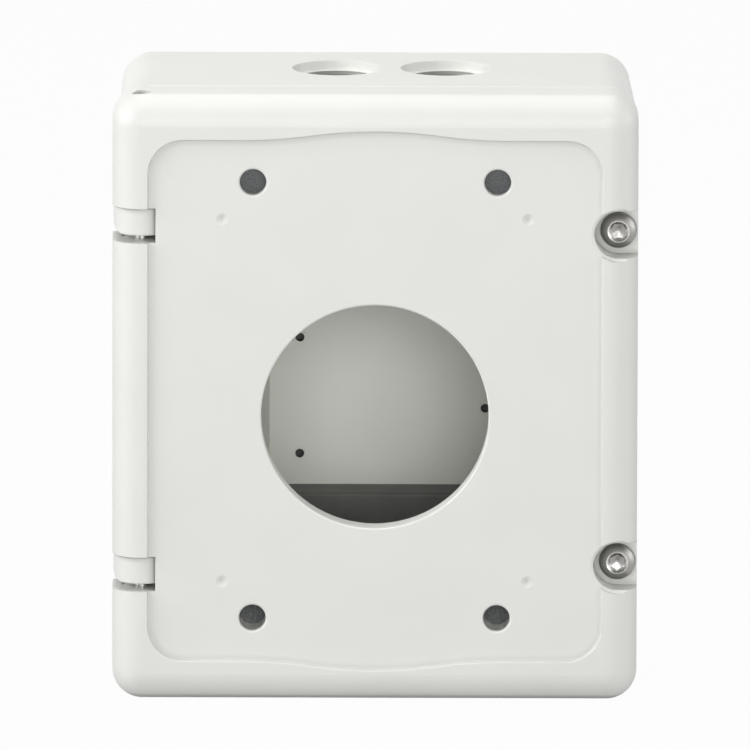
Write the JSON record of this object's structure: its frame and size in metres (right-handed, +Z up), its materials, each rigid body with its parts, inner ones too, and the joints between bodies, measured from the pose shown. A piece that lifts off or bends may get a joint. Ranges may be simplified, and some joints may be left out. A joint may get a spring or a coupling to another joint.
{
  "type": "camera junction box",
  "caption": "Ivory die-cast wall box with a hinged front cover, a large cable hole, arm bolt holes with rubber plugs, captive socket screws and threaded conduit entries in its top.",
  "frame": {"origin": "centre of the back face that lies against the wall, which is also the centre of the wall screw pattern", "axes": "+X to the right seen from the front, +Y into the wall, +Z up; the cover looks along -Y"},
  "size_m": [0.215, 0.112, 0.2526],
  "materials": {
    "ivory_coating": "fine-textured powder coat on die-cast aluminium, satin",
    "gasket_foam": "closed-cell foam cord",
    "pin_steel": "ground and bright",
    "screw_steel": "stainless, turned head with a bright socket",
    "washer_nylon": "moulded, matt",
    "plug_rubber": "matt, grainy",
    "grey_moulding": "moulded, fine texture",
    "block_nylon": "moulded, satin",
    "contact_brass": "turned",
    "plated_steel": "zinc plated"
  },
  "bodies": {
    "housing": {"rear_housing": "ivory_coating", "terminal_cover": "grey_moulding", "terminal_block": "block_nylon", "terminal_contacts": "contact_brass", "clamp_screws": "plated_steel", "terminal_cover_screw_left": "plated_steel", "terminal_cover_screw_right": "plated_steel", "earth_screw": "contact_brass", "earth_washer": "contact_brass"},
    "cover": {"front_cover": "ivory_coating", "cover_gasket": "gasket_foam", "hinge_pin_upper": "pin_steel", "hinge_pin_lower": "pin_steel", "mount_plug_upper_left": "plug_rubber", "mount_plug_upper_right": "plug_rubber", "mount_plug_lower_left": "plug_rubber", "mount_plug_lower_right": "plug_rubber"},
    "upper_retainer": {"screw_washer_upper": "washer_nylon", "screw_retainer_upper": "washer_nylon"},
    "upper_screw": {"cover_screw_upper": "screw_steel"},
    "lower_retainer": {"screw_washer_lower": "washer_nylon", "screw_retainer_lower": "washer_nylon"},
    "lower_screw": {"cover_screw_lower": "screw_steel"}
  },
  "joints": [
    {"name": "cover_hinge", "type": "hinge", "parent": "housing", "child": "cover", "pos_m": [-0.0955, -0.098, 0], "axis": [0, 0, -1], "range_deg": [0, 110]},
    {"name": "upper_screw_travel", "type": "slide", "parent": "cover", "child": "upper_retainer", "axis": [0, -1, 0], "range_m": [0, 0.00625]},
    {"name": "upper_screw_turn", "type": "hinge", "parent": "upper_retainer", "child": "upper_screw", "pos_m": [0.0994, -0.09, 0.0693], "axis": [0, -1, 0], "range_deg": [0, 1800]},
    {"name": "lower_screw_travel", "type": "slide", "parent": "cover", "child": "lower_retainer", "axis": [0, -1, 0], "range_m": [0, 0.00625]},
    {"name": "lower_screw_turn", "type": "hinge", "parent": "lower_retainer", "child": "lower_screw", "pos_m": [0.0994, -0.09, -0.0693], "axis": [0, -1, 0], "range_deg": [0, 1800]}
  ],
  "couplings": [
    {"joint": "upper_screw_travel", "follows": "upper_screw_turn", "m_per_rad": 0.00019894},
    {"joint": "lower_screw_travel", "follows": "lower_screw_turn", "m_per_rad": 0.00019894}
  ]
}
